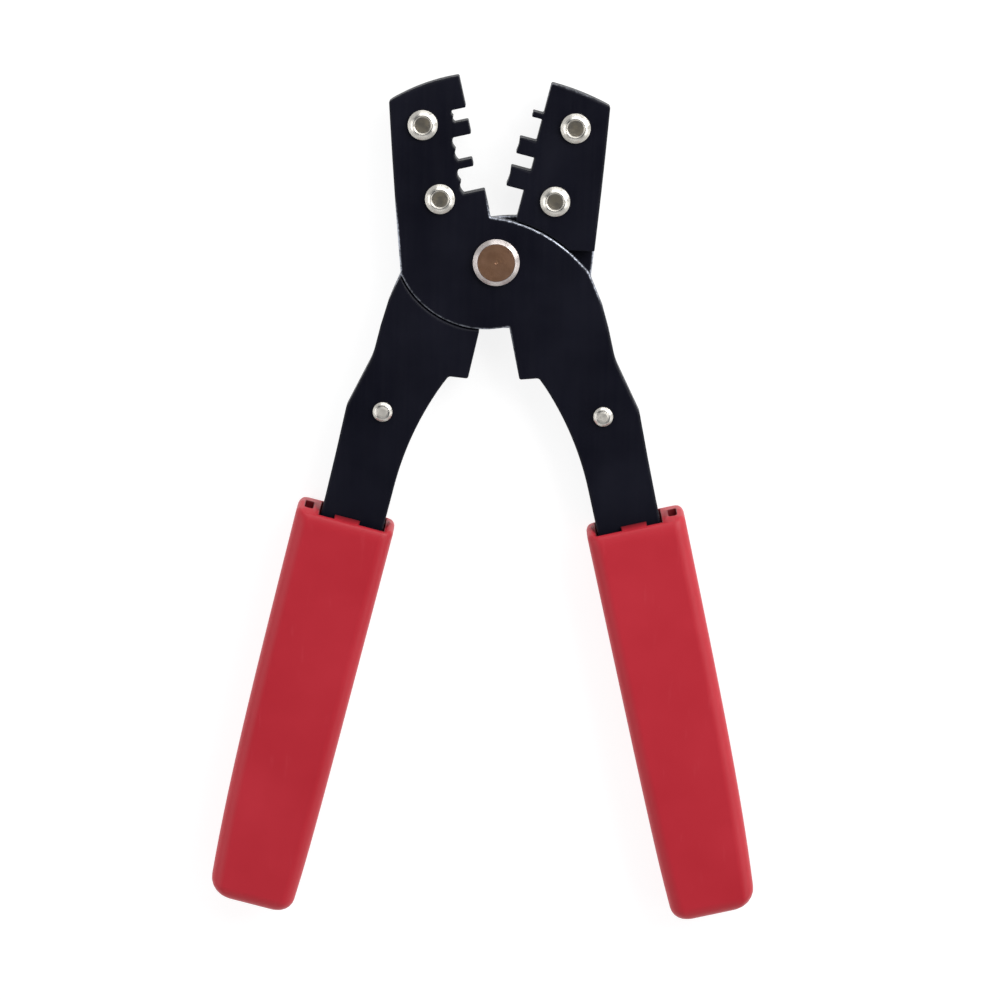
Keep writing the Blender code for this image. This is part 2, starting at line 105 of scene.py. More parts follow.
# Rivets: each head is given as corners (share of its radius, share of its height, fillet)
RIVET_SEGMENTS = 96
PLATE_STACK_HALF = 3.15            # from the middle of the stack to its outer faces
SEAT_GAP = 0.02                    # between a head and its plate
TURNING_FILLET_STEPS = 5
SEAT_FILLET = 0.05
AXIS_RADIUS = 0.001                # a ring that is narrower is one point on the axis
SHANK_SHARE = 0.7                  # the shank's radius as a share of the head's
# how far the arm rivets' dishes are tinted: partly tarnish, partly painted reflection
ARM_TARNISH_AND_REFLECTION = 0.1
PIVOT_HEAD = [(1.0, 0.54, 0.10), (0.81, 1.0, 0.10), (0.06, 1.0, 0.05), (0.0, 0.93, 0.0)]
JAW_HEAD = [(1.0, 0.42, 0.15), (0.80, 0.76, 0.8), (0.62, 1.0, 0.25), (0.55, 0.82, 0.2), (0.0, 0.74, 0.0)]
ARM_HEAD = [(1.0, 0.40, 0.25), (0.74, 0.82, 0.5), (0.38, 1.0, 0.4), (0.14, 0.97, 0.1), (0.0, 0.92, 0.0)]

# Grips, in the lever's frame: x across from inner to outer edge, y along, z through
GRIP_TOP_Y = -60.6
GRIP_BOTTOM_Y = -148.9
GRIP_HALF_THICKNESS = 6.3
GRIP_EDGE_RADIUS = 3.0
GRIP_INNER_X = 6.5
GRIP_OUTER_X = 27.9
TAPER_START_Y = -60.0
TAPER_LENGTH = 90.0
OUTER_TAPER = {"straight": 0.7, "curved": 2.0, "power": 4}
INNER_TAPER = {"curved": 0.8, "power": 8}
GRIP_STATIONS = 22
GRIP_ARC_STEPS = 7
GRIP_FACE_STEPS = 6

# The grips' ends: how far the rounding reaches along, and how far it draws the section in
MOUTH_END_REACH = {"inner": 1.3, "outer": 1.6, "faces": 2.4}
MOUTH_END_DRAW = {"inner": 1.1, "outer": 1.1, "faces": 0.7}
MOUTH_END_LENGTH = 3.0
FAR_END_REACH = {"inner": 3.4, "outer": 4.4, "faces": 3.0}
FAR_END_DRAW = {"inner": 3.4, "outer": 4.4, "faces": 3.0}
FAR_END_LENGTH = 5.0
GRIP_END_EDGE_RADIUS = 1.2
GRIP_END_STEPS = 6

# The grips' parting line, mouth, core slot and gate mark
PARTING_HALF_WIDTH = 0.18
PARTING_DEPTH = 0.1
MOUTH_LEFT_X = 8.55
MOUTH_RIGHT_X = 22.9
MOUTH_HALF_HEIGHT = 5.0
MOUTH_DEPTH = 12.0
MOUTH_LIP = 0.25
FRONT_LIP_FALL = 0.05              # the mouth's edge falls by this times the height squared
RIB = {"left": 14.0, "right": 19.6, "half_height": 3.45}
CAVITY_END_Y = -135.0
LIP_STEPS = 3
CORE_SLOT = {"left": 24.5, "right": 26.3, "low": -1.5, "high": 3.5, "depth": 60.0}
CORE_SLOT_RADIUS = 0.5
CORE_SLOT_STEPS = 4                # in each of its round corners
CORE_SLOT_LIP = 0.2
# the painted shade on the mouth's lip covers the rib and this margin round it
PAINTED_SHADE_MARGIN = 0.1
GATE_RADIUS = 1.6
GATE_DEPTH = 0.22
GATE_SEGMENTS = 24

# Camera: it looks down on the plier from the jaw side of the vertical
CAMERA_DISTANCE = 1000.0
CAMERA_TILT = math.radians(9.0)
CAMERA_ROLL = math.radians(1.28)
CAMERA_AIM = Vector((1.93, -51.63, 0.0))
CAMERA_LENS = 167.5


# ---------------------------------------------------------------- outlines

def left_of(direction):
    """The direction turned a quarter turn to the left."""
    return Vector((-direction.y, direction.x))


def face_outlines(node):
    """The outlines of a plate's front face, in millimetres, with the material on their left."""
    builder = bmesh.new()
    builder.from_mesh(frame["nodes"][node].data)
    bmesh.ops.remove_doubles(builder, verts=builder.verts, dist=WELD * MM)
    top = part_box(node)[1].z - WELD * MM
    front = [face for face in builder.faces if all(vert.co.z > top for vert in face.verts)]
    following = {}
    for face in front:
        for corner in face.loops:
            if all(other is face or other not in front for other in corner.edge.link_faces):
                following[corner.vert] = corner.link_loop_next.vert
    outlines = []
    while following:
        start, vert = following.popitem()
        outline = [start]
        while vert is not start:
            outline.append(vert)
            vert = following.pop(vert)
        outlines.append([vert.co.xy / MM for vert in outline])
    builder.free()
    return outlines


def joint_tangent(before, after):
    """Direction of the smooth curve where two chords meet."""
    if before.length > STRAIGHT_RATIO * after.length:
        return before.normalized()
    if after.length > STRAIGHT_RATIO * before.length:
        return after.normalized()
    return (before.normalized() * after.length + after.normalized() * before.length).normalized()


def bezier(start, start_handle, end_handle, end, steps):
    """Points of a cubic curve, without its last one."""
    points = []
    for step in range(steps):
        share = step / steps
        rest = 1 - share
        point = start * rest ** 3 + end * share ** 3
        point = point + start_handle * 3 * rest ** 2 * share + end_handle * 3 * rest * share ** 2
        points.append(point)
    return points


def outline_corners(outline):
    """The chords of an outline, its turns, and how far each corner's rounding reaches."""
    count = len(outline)
    chords = [outline[(index + 1) % count] - outline[index] for index in range(count)]
    turns = [chords[index - 1].angle(chords[index]) for index in range(count)]
    reaches = []
    for index, turn in enumerate(turns):
        room = CORNER_ROOM * min(chords[index - 1].length, chords[index].length)
        reach = min(room, CORNER_RADIUS * math.tan(turn / 2)) if turn > CORNER_TURN else 0.0
        reaches.append(reach)
    return chords, turns, reaches


def roll_widths(outline, smooth):
    """How wide the edge is rolled at each point: never wider than a corner's radius allows."""
    chords, turns, reaches = outline_corners(outline)
    limits = []
    for index, corner in enumerate(outline):
        convex = chords[index - 1].cross(chords[index]) > 0
        if convex and turns[index] > LEAST_CORNER:
            if reaches[index]:
                radius = reaches[index] / math.tan(turns[index] / 2)
            else:
                radius = min(chords[index - 1].length, chords[index].length) / turns[index]
            limits.append((corner, ROLL_SHARE * radius))
    widest = EDGE_ROLL if limits else HOLE_ROLL
    widths = []
    for point in smooth:
        room = [radius + ROLL_GROWTH * (point - corner).length for corner, radius in limits]
        widths.append(min([widest] + room))
    return widths


def smooth_outline(outline):
    """Give a chorded outline its round stretches back, and its corners a small radius."""
    count = len(outline)
    chords, turns, reaches = outline_corners(outline)
    smooth = []
    for index, chord in enumerate(chords):
        after = (index + 1) % count
        direction = chord.normalized()
        start = outline[index] + direction * reaches[index]
        end = outline[after] - direction * reaches[after]
        if reaches[index]:
            corner = outline[index]
            entry = corner - chords[index - 1].normalized() * reaches[index]
            steps = max(3, round(turns[index] / CORNER_STEP_TURN))
            entry_handle = entry.lerp(corner, CORNER_PULL)
            exit_handle = start.lerp(corner, CORNER_PULL)
            smooth += bezier(entry, entry_handle, exit_handle, start, steps)
        start_tangent = direction if reaches[index] else joint_tangent(chords[index - 1], chord)
        end_tangent = direction if reaches[after] else joint_tangent(chord, chords[after])
        bow = max(start_tangent.angle(direction), end_tangent.angle(direction))
        if bow < LEAST_BOW:
            smooth.append(start)
            continue
        handle = (end - start).length / 3
        steps = max(2, math.ceil(start_tangent.angle(end_tangent) / STEP_TURN))
        smooth += bezier(start, start + start_tangent * handle, end - end_tangent * handle, end, steps)
    return smooth


def moved_outline(outline, distances):
    """Shift the points of an outline to its left, each by its own distance."""
    count = len(outline)
    moved = []
    for index, (point, distance) in enumerate(zip(outline, distances)):
        before = (point - outline[index - 1]).normalized()
        after = (outline[(index + 1) % count] - point).normalized()
        normal = left_of((before + after).normalized())
        spread = max(0.5, normal.dot(left_of(after)))
        moved.append(point + normal * distance / spread)
    return moved


def filleted(corners, steps):
    """An open line of (x, y, fillet radius) corners with its fillets drawn as arcs."""
    line = []
    for index, (x, y, radius) in enumerate(corners):
        point = Vector((x, y))
        if radius == 0.0 or index in (0, len(corners) - 1):
            line.append(point)
            continue
        before = (Vector(corners[index - 1][:2]) - point).normalized()
        after = (Vector(corners[index + 1][:2]) - point).normalized()
        half = before.angle(after) / 2
        reach = radius / math.tan(half)
        centre = point + (before + after).normalized() * radius / math.sin(half)
        first = point + before * reach - centre
        sweep = first.angle_signed(point + after * reach - centre)
        for step in range(steps + 1):
            line.append(centre + Matrix.Rotation(-sweep * step / steps, 2) @ first)
    return line


# ---------------------------------------------------------------- meshes

def add_ring(builder, points):
    """A closed ring of vertices."""
    return [builder.verts.new(point) for point in points]


def bridge(builder, lower, upper):
    """Join two rings of the same length with quads."""
    count = len(lower)
    for index in range(count):
        after = (index + 1) % count
        builder.faces.new((lower[index], lower[after], upper[after], upper[index]))


def ring_edges(builder, ring):
    """The edges of a ring, made where they are missing."""
    edges = []
    for index, vert in enumerate(ring):
        pair = (ring[index - 1], vert)
        edges.append(builder.edges.get(pair) or builder.edges.new(pair))
    return edges


def fill_between(builder, rings):
    """Fill a flat region bounded by an outer ring and any inner rings."""
    edges = [edge for ring in rings for edge in ring_edges(builder, ring)]
    bmesh.ops.triangle_fill(builder, edges=edges, use_beauty=True, use_dissolve=False)


def finished_object(name, builder, material, sharp_angle=35):
    """Make the object, with smooth shading that keeps its flat faces flat."""
    bmesh.ops.scale(builder, vec=(MM, MM, MM), verts=builder.verts)
    bmesh.ops.recalc_face_normals(builder, faces=builder.faces)
    mesh = bpy.data.meshes.new(name)
    builder.to_mesh(mesh)
    builder.free()
    mesh.shade_smooth()
    mesh.set_sharp_from_angle(angle=math.radians(sharp_angle))
    mesh.materials.append(material)
    piece = bpy.data.objects.new(name, mesh)
    bpy.context.scene.collection.objects.link(piece)
    weighted = piece.modifiers.new("flat_faces_stay_flat", "WEIGHTED_NORMAL")
    weighted.keep_sharp = True
    return piece


def install(piece, node):
    """Put a finished piece in the place of its CAD node."""
    bodies = frame["record"]["behaviour"]["bodies"]
    body = next(name for name, members in bodies.items() if node in members)
    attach(piece, body)
    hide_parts(node)


def roll_levels():
    """The rolled edge from the face to the wall: (share of its width, of its depth, wear)."""
    levels = []
    for step in range(EDGE_STEPS + 1):
        angle = math.pi / 2 * step / EDGE_STEPS
        exposed = PEAK_WEAR * math.sin(angle) ** 2 * (1 - WALL_FADE * (step / EDGE_STEPS) ** 3)
        levels.append((1 - math.sin(angle), 1 - math.cos(angle), exposed))
    return levels


def roll_depth(width):
    """A wide roll is shallow, and a narrow one nearly round."""
    return ROLL_DEPTH["least"] + ROLL_DEPTH["growth"] * width


def ramp(value, start, end):
    """0 at the start and 1 at the end, straight between them and clamped outside."""
    return min(1.0, max(0.0, (value - start) / (end - start)))


def wear_share(point, node):
    """How much oxide is rubbed off an edge: most where the lever plates' hubs slide."""
    from_pivot = (point - PIVOT.xy).length
    above_pivot = point.y - PIVOT.y
    near_hub = ramp(from_pivot, *HUB_EDGE) * ramp(above_pivot, *HUB_TOP)
    side = "left" if point.x < PIVOT.x else "right"
    share = max(LEAST_WEAR, TIP_WEAR[side] * ramp(above_pivot, *TIP_START))
    if not node.endswith("_lever_plate"):
        return share * (1 - SHORT_PLATE_FADE * near_hub)
    upper = ramp(above_pivot, *HUB_MIDDLE)
    hub = HUB_WEAR["lower"] + (HUB_WEAR["upper"] - HUB_WEAR["lower"]) * upper
    return max(share, hub * near_hub)


def plate_piece(node, material):
    """A stamped plate with rolled edges, built on the node's own outline."""
    low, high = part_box(node)
    builder = bmesh.new()
    wear = builder.verts.layers.float.new("wear")
    ends = ([], [])
    for outline in face_outlines(node):
        smooth = smooth_outline(outline)
        widths = roll_widths(outline, smooth)
        shares = [wear_share(point, node) for point in smooth]
        rings = []
        sides = [(high.z / MM, -1, roll_levels()), (low.z / MM, 1, list(reversed(roll_levels())))]
        for face_z, inward, levels in sides:
            for width_share, depth_share, exposed in levels:
                moved = moved_outline(smooth, [width * width_share for width in widths])
                points = []
                for point, width in zip(moved, widths):
                    z = face_z + inward * roll_depth(width) * depth_share
                    points.append((point.x, point.y, z))
                ring = add_ring(builder, points)
                for vert, share in zip(ring, shares):
                    vert[wear] = exposed * share
                rings.append(ring)
            if inward < 0:
                middle = (low.z + high.z) / 2 / MM
                ring = add_ring(builder, [(point.x, point.y, middle) for point in smooth])
                for vert, share in zip(ring, shares):
                    vert[wear] = WALL_WEAR * share
                rings.append(ring)
        for upper, lower in zip(rings, rings[1:]):
            bridge(builder, lower, upper)
        ends[0].append(rings[0])
        ends[1].append(rings[-1])
    for rings in ends:
        fill_between(builder, rings)
    piece = finished_object(node + "_finished", builder, material)
    install(piece, node)


def rivet_piece(node, corners, material, tarnish_and_reflection=1.0):
    """A rivet with turned heads on both sides: corners run from the rim to the centre.

    Its last argument, from 0 to 1, is how far its dish is tinted olive-brown: partly tarnish, partly a painted
    reflection of the dark room overhead.
    """
    low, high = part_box(node)
    centre = (low + high) / 2 / MM
    radius = (high.x - low.x) / 2 / MM
    seat = PLATE_STACK_HALF + SEAT_GAP
    height = (high.z - low.z) / 2 / MM - seat
    outline = [(radius * SHANK_SHARE, seat, 0.0), (radius, seat, SEAT_FILLET)]
    outline += [(radius * x, seat + height * y, fillet) for x, y, fillet in corners]
    head = filleted(outline, TURNING_FILLET_STEPS)
    profile = [(point.x, -point.y) for point in reversed(head)] + [(point.x, point.y) for point in head]
    builder = bmesh.new()
    from_axis = builder.verts.layers.float.new("from_axis")
    tarnish_and_reflection_layer = builder.verts.layers.float.new("tarnish_and_reflection")
    rings = []
    for ring_radius, z in profile:
        steps = RIVET_SEGMENTS if ring_radius > AXIS_RADIUS else 1
        points = []
        for step in range(steps):
            angle = 2 * math.pi * step / RIVET_SEGMENTS
            points.append((centre.x + ring_radius * math.cos(angle),
                           centre.y + ring_radius * math.sin(angle), centre.z + z))
        ring = add_ring(builder, points)
        for vert in ring:
            vert[from_axis] = ring_radius / radius
            vert[tarnish_and_reflection_layer] = tarnish_and_reflection
        rings.append(ring)
    for lower, upper in zip(rings, rings[1:]):
        if len(lower) == 1 or len(upper) == 1:
            tip, ring = (lower[0], upper) if len(lower) == 1 else (upper[0], lower)
            for index in range(RIVET_SEGMENTS):
                builder.faces.new((tip, ring[index - 1], ring[index]))
        else:
            bridge(builder, lower, upper)
    piece = finished_object(node + "_finished", builder, material, sharp_angle=50)
    install(piece, node)


# ---------------------------------------------------------------- grips

def grip_outer_x(y):
    """Outer edge of the grip: it draws in towards the end."""
    share = (TAPER_START_Y - y) / TAPER_LENGTH
    curved = OUTER_TAPER["curved"] * share ** OUTER_TAPER["power"]
    return GRIP_OUTER_X - OUTER_TAPER["straight"] * share - curved


def grip_inner_x(y):
    """Inner edge of the grip: straight, and drawn in at the very end."""
    share = (TAPER_START_Y - y) / TAPER_LENGTH
    return GRIP_INNER_X + INNER_TAPER["curved"] * share ** INNER_TAPER["power"]


def lip_fall(height):
    """How far the mouth's edge is cut back at a height: only the front half is."""
    return FRONT_LIP_FALL * max(0.0, height) ** 2


def section_points(left, right, half_height, radius):
    """A rounded rectangle with a parting groove on both sides: (x, z, sideways share)."""
    points = []
    corners = [(right - radius, half_height - radius, 0), (left + radius, half_height - radius, 1),
               (left + radius, radius - half_height, 2), (right - radius, radius - half_height, 3)]
    for x, z, quarter in corners:
        for step in range(GRIP_ARC_STEPS + 1):
            angle = math.pi / 2 * (quarter + step / GRIP_ARC_STEPS)
            sideways = math.cos(angle) ** 2
            points.append((x + radius * math.cos(angle), z + radius * math.sin(angle), sideways))
        if quarter in (0, 2):
            next_x = corners[quarter + 1][0]
            z_face = z + radius * (1 if quarter == 0 else -1)
            for step in range(1, GRIP_FACE_STEPS):
                points.append((x + (next_x - x) * step / GRIP_FACE_STEPS, z_face, 0.0))
        else:
            side = left if quarter == 1 else right
            inward = 1 if quarter == 1 else -1
            for groove_z, depth in ((1, 0), (0, PARTING_DEPTH), (-1, 0)):
                points.append((side + inward * depth, inward * groove_z * PARTING_HALF_WIDTH, 1.0))
    return points


def grip_end_rings(end_y, towards, reach, draw):
    """Rings that round off one end: towards is +1 for the mouth and -1 for the far end."""
    rings = []
    for step in range(GRIP_END_STEPS + 1):
        angle = math.pi / 2 * step / GRIP_END_STEPS
        drawn = 1 - math.cos(angle)
        left = grip_inner_x(end_y) + draw["inner"] * drawn
        right = grip_outer_x(end_y) - draw["outer"] * drawn
        half_height = GRIP_HALF_THICKNESS - draw["faces"] * drawn
        radius = GRIP_EDGE_RADIUS + (GRIP_END_EDGE_RADIUS - GRIP_EDGE_RADIUS) * drawn
        middle = (left + right) / 2
        ring = []
        for x, z, sideways in section_points(left, right, half_height, radius):
            side_reach = reach["inner"] if x < middle else reach["outer"]
            length = side_reach * sideways + reach["faces"] * (1 - sideways)
            y = end_y - towards * length * (1 - math.sin(angle))
            edge_x = grip_outer_x if x > middle else grip_inner_x
            slant = edge_x(y) - edge_x(end_y)
            fall = lip_fall(z) if towards > 0 else 0.0
            ring.append((x + slant, y - fall, z))
        rings.append(ring)
    return rings


def grip_stations(start_y, end_y):
    """Rings along the straight part of the grip."""
    rings = []
    for step in range(1, GRIP_STATIONS):
        y = start_y + (end_y - start_y) * step / GRIP_STATIONS
        section = section_points(grip_inner_x(y), grip_outer_x(y), GRIP_HALF_THICKNESS, GRIP_EDGE_RADIUS)
        rings.append([(x, y, z) for x, z, sideways in section])
    return rings


def mouth_outline(rib_half_height):
    """The mouth's outline in the XZ plane, with a broad rib on both walls."""
    wall = MOUTH_HALF_HEIGHT
    upper = [(MOUTH_RIGHT_X, wall), (RIB["right"], wall), (RIB["right"], rib_half_height),
             (RIB["left"], rib_half_height), (RIB["left"], wall), (MOUTH_LEFT_X, wall)]
    lower = [(x, -z) for x, z in reversed(upper)]
    return [Vector(corner) for corner in upper + lower]


def slot_outline(slot):
    """The core slot's outline in the XZ plane, with round corners."""
    radius = CORE_SLOT_RADIUS
    left = slot["left"] + radius
    right = slot["right"] - radius
    low = slot["low"] + radius
    high = slot["high"] - radius
    points = []
    centres = [(right, high), (left, high), (left, low), (right, low)]
    for quarter, (x, z) in enumerate(centres):
        for step in range(CORE_SLOT_STEPS + 1):
            angle = math.pi / 2 * (quarter + step / CORE_SLOT_STEPS)
            points.append(Vector((x + radius * math.cos(angle), z + radius * math.sin(angle))))
    return points


def pocket_rings(builder, outline, top_y, bottom_y, lip):
    """Rings of a pocket in the end face: a rounded lip, then the walls down to its floor.

    Painted shade darkens the inside, and reaches the end face at the rib.
    """
    painted_shade = builder.verts.layers.float["painted_shade"]
    rings = []
    for step in range(LIP_STEPS + 1):
        angle = math.pi / 2 * step / LIP_STEPS
        loop = moved_outline(outline, [-lip * (1 - math.sin(angle))] * len(outline))
        y = top_y - lip * (1 - math.cos(angle))
        rings.append(add_ring(builder, [(point.x, y - lip_fall(point.y), point.y) for point in loop]))
    rings.append(add_ring(builder, [(point.x, bottom_y, point.y) for point in outline]))
    for upper, lower in zip(rings, rings[1:]):
        bridge(builder, upper, lower)
    for ring in rings:
        for vert, point in zip(ring, outline):
            across_rib = RIB["left"] - PAINTED_SHADE_MARGIN < point.x < RIB["right"] + PAINTED_SHADE_MARGIN
            on_rib = across_rib and abs(point.y) < RIB["half_height"] + PAINTED_SHADE_MARGIN
            vert[painted_shade] = 1.0 if on_rib or ring is not rings[0] else 0.0
    return rings


def gate_mark(builder, y, centre_x):
    """Rings of the round dimple that the gate leaves in the far end, from its edge inwards."""
    rings = []
    for share in (1.0, 0.85, 0.7, 0.55, 0.4, 0.2):
        radius = GATE_RADIUS * share
        depth = GATE_DEPTH * (1 + math.cos(math.pi * share)) / 2
        points = []
        for step in range(GATE_SEGMENTS):
            angle = 2 * math.pi * step / GATE_SEGMENTS
            points.append((centre_x + radius * math.cos(angle), y + depth, radius * math.sin(angle)))
        rings.append(add_ring(builder, points))
    for outer, inner in zip(rings, rings[1:]):
        bridge(builder, outer, inner)
    builder.faces.new(rings[-1])
    return rings[0]


def grip_piece(node, lever, material):
    """A moulded sleeve, open at the top for the arm."""
    builder = bmesh.new()
    builder.verts.layers.float.new("painted_shade")
    top = grip_end_rings(GRIP_TOP_Y, 1, MOUTH_END_REACH, MOUTH_END_DRAW)
    bottom = grip_end_rings(GRIP_BOTTOM_Y, -1, FAR_END_REACH, FAR_END_DRAW)
    body = grip_stations(GRIP_TOP_Y - MOUTH_END_LENGTH, GRIP_BOTTOM_Y + FAR_END_LENGTH)
    skin = [add_ring(builder, ring) for ring in list(reversed(top)) + body + bottom]
    for upper, lower in zip(skin, skin[1:]):
        bridge(builder, upper, lower)
    rib_end = GRIP_TOP_Y - MOUTH_DEPTH
    mouth = pocket_rings(builder, mouth_outline(RIB["half_height"]), GRIP_TOP_Y, rib_end, MOUTH_LIP)
    plain = mouth_outline(MOUTH_HALF_HEIGHT)
    ledge = add_ring(builder, [(point.x, rib_end, point.y) for point in plain])
    floor = add_ring(builder, [(point.x, CAVITY_END_Y, point.y) for point in plain])
    bridge(builder, mouth[-1], ledge)
    bridge(builder, ledge, floor)
    builder.faces.new(floor)
    slot_floor = GRIP_TOP_Y - CORE_SLOT["depth"]
    slot_rings = pocket_rings(builder, slot_outline(CORE_SLOT), GRIP_TOP_Y, slot_floor, CORE_SLOT_LIP)
    builder.faces.new(slot_rings[-1])
    fill_between(builder, [skin[0], mouth[0], slot_rings[0]])
    end_left = grip_inner_x(GRIP_BOTTOM_Y) + FAR_END_DRAW["inner"]
    end_right = grip_outer_x(GRIP_BOTTOM_Y) - FAR_END_DRAW["outer"]
    end_x = (end_left + end_right) / 2
    fill_between(builder, [skin[-1], gate_mark(builder, GRIP_BOTTOM_Y, end_x)])
    bmesh.ops.remove_doubles(builder, verts=builder.verts, dist=WELD)
    place = Matrix.Translation(PIVOT) @ Matrix.Rotation(lever["turn"], 4, "Z")
    place = place @ Matrix.Diagonal((lever["mirror"], 1.0, 1.0, 1.0))
    bmesh.ops.transform(builder, matrix=place, verts=builder.verts)
    piece = finished_object(node + "_finished", builder, material)
    install(piece, node)


# ---------------------------------------------------------------- materials

class Shader:
    """One material's node tree around its Principled node."""

    def __init__(self, name):
        self.material = bpy.data.materials.new(name)
        self.material.use_nodes = True
        self.tree = self.material.node_tree
        self.surface = self.tree.nodes["Principled BSDF"]

    def connect(self, node, inputs):
        """Set a node's inputs: sockets are linked and everything else is a plain value."""
        for key, value in inputs.items():
            if isinstance(value, bpy.types.NodeSocket):
                self.tree.links.new(value, node.inputs[key])
            else:
                node.inputs[key].default_value = value

    def add(self, kind, inputs, output=0, **settings):
        """Make a node and return one of its outputs."""
        node = self.tree.nodes.new("ShaderNode" + kind)
        for key, value in settings.items():
            setattr(node, key, value)
        self.connect(node, inputs)
        return node.outputs[output]

    def place(self, scale=(1.0, 1.0, 1.0), turn=0.0):
        """Object coordinates in millimetres, stretched and turned about Z."""
        raw = self.add("TexCoord", {}, output="Object")
        sizes = tuple(share / MM for share in scale)
        return self.add("Mapping", {"Vector": raw, "Scale": sizes, "Rotation": (0.0, 0.0, turn)})

    def noise(self, size, detail=3.0, roughness=0.5, vector=None):
        """Noise whose features are about size millimetres across."""
        vector = vector or self.place()
        inputs = {"Vector": vector, "Scale": 1 / size, "Detail": detail, "Roughness": roughness}
        return self.add("TexNoise", inputs)

    def rings(self, from_axis, count):
        """Turning marks: noise that changes only with the distance from the axis."""
        inputs = {"W": self.math("MULTIPLY", from_axis, count), "Detail": 2.0, "Scale": 1.0}
        return self.add("TexNoise", inputs, noise_dimensions="1D")

    def attribute(self, name):
        """A number stored on the mesh's vertices."""
        return self.add("Attribute", {}, output="Fac", attribute_name=name)

    def remap(self, value, low, high, new_low, new_high, smooth=False):
        """Stretch a number from one range to another and clamp it there."""
        inputs = {0: value, 1: low, 2: high, 3: new_low, 4: new_high}
        kind = "SMOOTHSTEP" if smooth else "LINEAR"
        return self.add("MapRange", inputs, interpolation_type=kind)

    def math(self, operation, first, second):
        """One arithmetic step."""
        return self.add("Math", {0: first, 1: second}, operation=operation)

    def mix(self, share, first, second):
        """Blend two colours."""
        return self.add("Mix", {0: share, 6: first, 7: second}, output=2, data_type="RGBA")

    def bump(self, height, distance, strength=1.0, normal=None):
        """Surface relief: distance is the height of the relief in millimetres."""
        inputs = {"Height": height, "Distance": distance * MM, "Strength": strength}
        if normal is not None:
            inputs["Normal"] = normal
        return self.add("Bump", inputs)


def plate_material():
    """Blue-black oxide on stamped steel, rubbed through to the metal along the edges."""
    shader = Shader("black_oxide_plate")
    cloud = shader.noise(14.0, detail=4.0)
    through = shader.place(scale=(1.0, 1.0, 0.12))
    grain = shader.noise(0.35, detail=2.0, vector=through)
    chips = shader.noise(0.8, detail=5.0, roughness=0.65, vector=through)
    along = shader.place(scale=(1.6, 0.05, 1.0), turn=math.radians(8))
    streaks = shader.noise(1.0, detail=3.0, vector=along)
    chipping = shader.remap(chips, 0.40, 0.62, 0.45, 1.0)
    exposed = shader.math("MULTIPLY", shader.attribute("wear"), chipping)
    bare = shader.remap(exposed, 0.12, 0.80, 0.0, 0.85, smooth=True)
    clouded = shader.remap(cloud, 0.3, 0.7, 0.0, 1.0)
    oxide = shader.mix(clouded, (0.0022, 0.0024, 0.0070, 1.0), (0.0045, 0.0048, 0.0115, 1.0))
    color = shader.mix(bare, oxide, (0.50, 0.53, 0.61, 1.0))
    base_roughness = shader.remap(cloud, 0.3, 0.7, 0.40, 0.50)
    streaked = shader.math("ADD", base_roughness, shader.remap(streaks, 0.35, 0.65, -0.03, 0.03))
    roughness = shader.math("SUBTRACT", streaked, shader.math("MULTIPLY", bare, 0.15))
    relief = shader.bump(grain, 0.012)
    relief = shader.bump(cloud, 0.10, strength=0.5, normal=relief)
    shader.connect(shader.surface, {"Base Color": color, "Roughness": roughness, "Metallic": bare,
                                    "Normal": relief, "Specular IOR Level": 0.17})
    return shader.material


def rivet_material():
    """Bright nickel plate with fine turning marks; the dish is tinted olive-brown, partly tarnish and partly a
    painted reflection.
    """
    shader = Shader("nickel_rivet")
    from_axis = shader.attribute("from_axis")
    cloud = shader.noise(1.8, detail=4.0)
    rings = shader.rings(from_axis, 38.0)
    dish = shader.remap(from_axis, 0.42, 0.64, 1.0, 0.0, smooth=True)
    stain_and_reflection = shader.math("MULTIPLY", dish, shader.attribute("tarnish_and_reflection"))
    tarnish_and_reflection = shader.math("MULTIPLY", stain_and_reflection, shader.remap(cloud, 0.3, 0.7, 0.7, 1.0))
    # The dish's olive-brown is partly tarnish and partly a painted reflection of the dark room overhead.
    color = shader.mix(tarnish_and_reflection, (0.78, 0.75, 0.69, 1.0), (0.44, 0.38, 0.28, 1.0))
    polish = shader.remap(cloud, 0.3, 0.7, 0.18, 0.30)
    dullness = shader.remap(shader.attribute("tarnish_and_reflection"), 0.0, 1.0, 0.32, 0.10)
    roughness = shader.math("ADD", polish, shader.math("MULTIPLY", dish, dullness))
    relief = shader.bump(rings, 0.010)
    relief = shader.bump(shader.noise(0.9), 0.02, strength=0.6, normal=relief)
    shader.connect(shader.surface, {"Base Color": color, "Roughness": roughness, "Metallic": 1.0,
                                    "Normal": relief})
    return shader.material


def pivot_material():
    """The pivot's bright bevel and its duller turned face, whose brown is a painted reflection."""
    shader = Shader("pivot_rivet_metal")
    from_axis = shader.attribute("from_axis")
    cloud = shader.noise(2.6, detail=5.0)
    rings = shader.rings(from_axis, 70.0)
    face = shader.remap(from_axis, 0.785, 0.815, 1.0, 0.0, smooth=True)
    clouded = shader.remap(cloud, 0.3, 0.7, 0.0, 1.0)
    # Painted reflection: the turned face is coloured brown in place of a reflection of brown surroundings.
    painted_reflection_brown = shader.mix(clouded, (0.50, 0.26, 0.15, 1.0), (0.66, 0.37, 0.23, 1.0))
    color = shader.mix(face, (0.68, 0.62, 0.60, 1.0), painted_reflection_brown)
    polish = shader.remap(rings, 0.3, 0.7, 0.20, 0.30)
    roughness = shader.math("ADD", polish, shader.math("MULTIPLY", face, 0.10))
    relief = shader.bump(rings, 0.012)
    shader.connect(shader.surface, {"Base Color": color, "Roughness": roughness, "Metallic": 1.0,
                                    "Normal": relief})
    return shader.material


